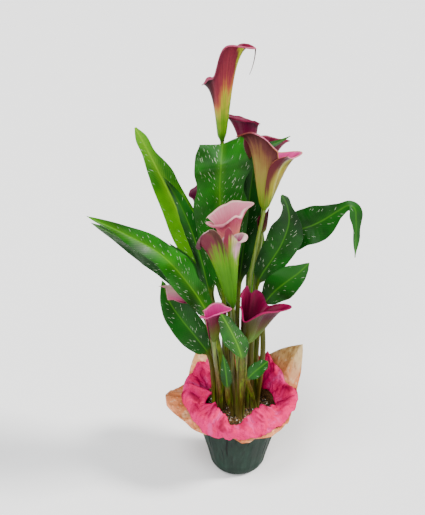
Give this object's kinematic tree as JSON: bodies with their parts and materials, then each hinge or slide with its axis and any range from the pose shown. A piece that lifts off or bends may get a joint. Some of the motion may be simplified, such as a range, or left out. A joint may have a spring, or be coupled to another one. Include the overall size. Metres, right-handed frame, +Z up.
{
  "type": "potted calla lily",
  "caption": "Flowering calla lily with spotted lance leaves, in a round pot of soil with a pleated pot cover and a flared paper gift collar.",
  "frame": {"origin": "centre of the pot cover's flat underside", "axes": "+Z up along the pot's axis, -Y towards the viewer of the picture, +X to the picture's right"},
  "size_m": [0.4311, 0.2236, 0.7525],
  "materials": {
    "leaf": "satin",
    "leaf_light": "satin",
    "scape": "satin",
    "spathe_pink": "satin",
    "spathe_rose": "satin",
    "spathe_magenta": "satin",
    "spathe_olive": "satin",
    "spathe_green": "satin",
    "spadix": "matte",
    "tuber": "matte",
    "potting_mix": "matte",
    "grower_pot": "satin",
    "pot_cover": "satin",
    "copper_paper": "satin",
    "tissue_paper": "matte"
  },
  "bodies": {
    "root": {"copper_collar": "copper_paper", "grower_pot": "grower_pot", "leaf_big_right": "leaf", "leaf_dark_left": "leaf", "leaf_drooping_right": "leaf", "leaf_far_left": "leaf", "leaf_light_left": "leaf_light", "leaf_low_centre": "leaf", "leaf_low_left": "leaf", "leaf_low_right": "leaf", "leaf_mid_back": "leaf", "leaf_mid_left": "leaf", "leaf_small_centre": "leaf", "leaf_small_right": "leaf", "leaf_strip_right": "leaf_light", "leaf_tall_back": "leaf", "leaf_tall_centre": "leaf", "leaf_under_left": "leaf", "pot_cover": "pot_cover", "potting_mix": "potting_mix", "scape_back_left": "scape", "scape_back_right": "scape", "scape_bud_left": "scape", "scape_bud_right": "scape", "scape_centre_front": "scape", "scape_hidden_left": "scape", "scape_low_right": "scape", "scape_right_centre": "scape", "scape_small_left": "scape", "scape_top": "scape", "scape_upper_front": "scape", "spadix_back_left": "spadix", "spadix_back_right": "spadix", "spadix_centre_front": "spadix", "spadix_hidden_left": "spadix", "spadix_low_right": "spadix", "spadix_right_centre": "spadix", "spadix_small_left": "spadix", "spadix_top": "spadix", "spadix_upper_front": "spadix", "spathe_back_left": "spathe_rose", "spathe_back_right": "spathe_rose", "spathe_bud_left": "spathe_pink", "spathe_bud_right": "spathe_magenta", "spathe_centre_front": "spathe_green", "spathe_hidden_left": "spathe_magenta", "spathe_low_right": "spathe_magenta", "spathe_right_centre": "spathe_olive", "spathe_small_left": "spathe_pink", "spathe_top": "spathe_rose", "spathe_upper_front": "spathe_pink", "tissue_collar": "tissue_paper", "tuber_centre": "tuber", "tuber_left": "tuber", "tuber_right": "tuber"}
  },
  "joints": []
}
